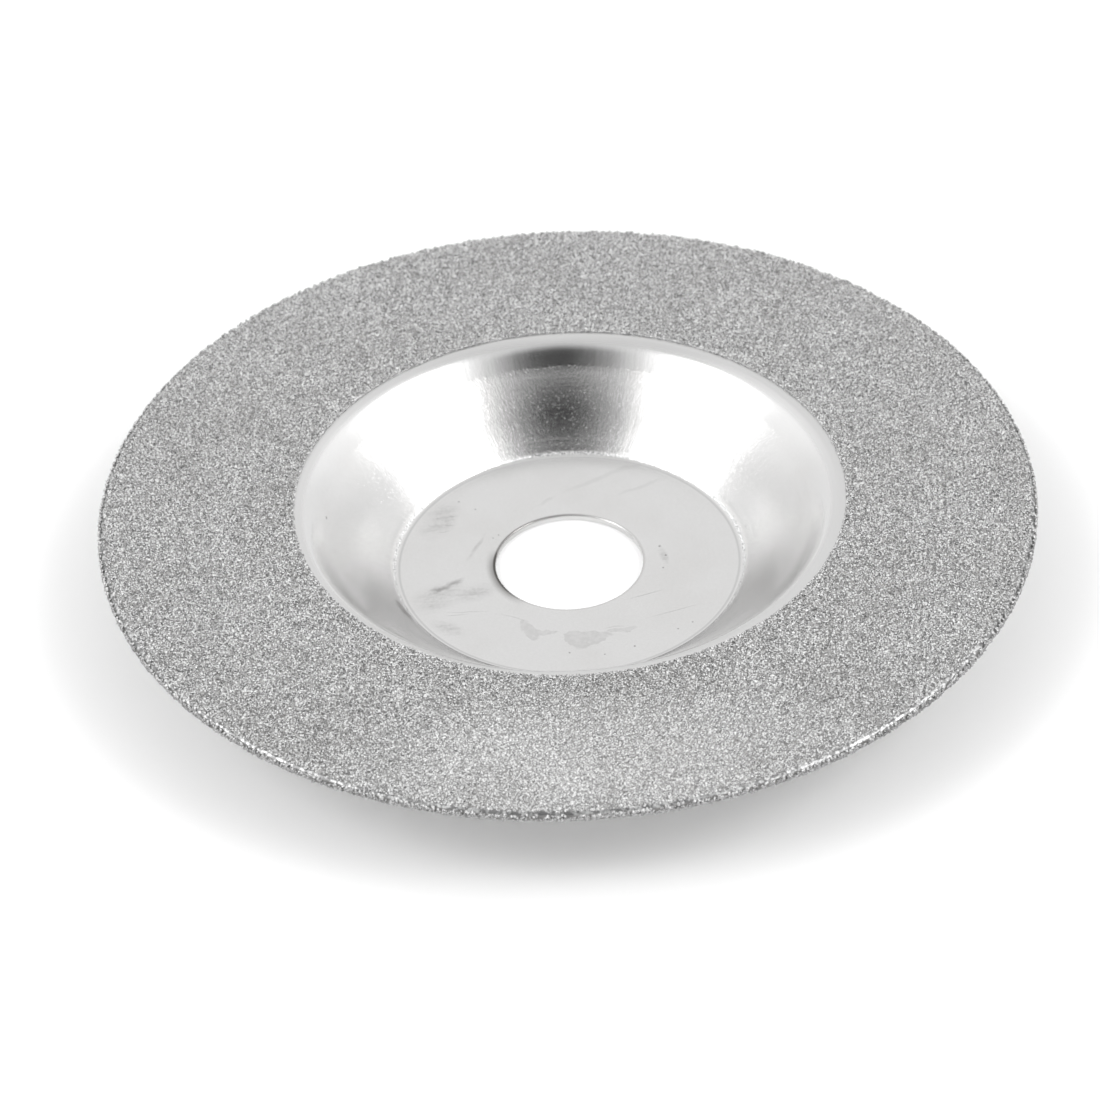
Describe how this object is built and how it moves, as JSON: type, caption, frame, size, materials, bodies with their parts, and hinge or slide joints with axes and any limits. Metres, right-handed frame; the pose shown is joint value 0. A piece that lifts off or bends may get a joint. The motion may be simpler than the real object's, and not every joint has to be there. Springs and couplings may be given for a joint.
{
  "type": "diamond grinding wheel",
  "caption": "Shallow pressed-steel dish with a flat rim coated in nickel-held diamond grit and a plain bore in its floor, for face grinding stone and glass.",
  "frame": {"origin": "centre of the bore on the underside of the dish floor, the face that seats on the grinder's inner flange", "axes": "+Z is the wheel's axis and points out of the dish towards the work; X and Y are any two directions across the wheel"},
  "size_m": [0.1, 0.1, 0.01],
  "materials": {
    "bright_steel": "satin",
    "plated_nickel": "satin",
    "diamond": "gloss"
  },
  "bodies": {
    "root": {"pressed_disc": "bright_steel", "nickel_bond": "plated_nickel", "diamond_grit": "diamond"}
  },
  "joints": []
}
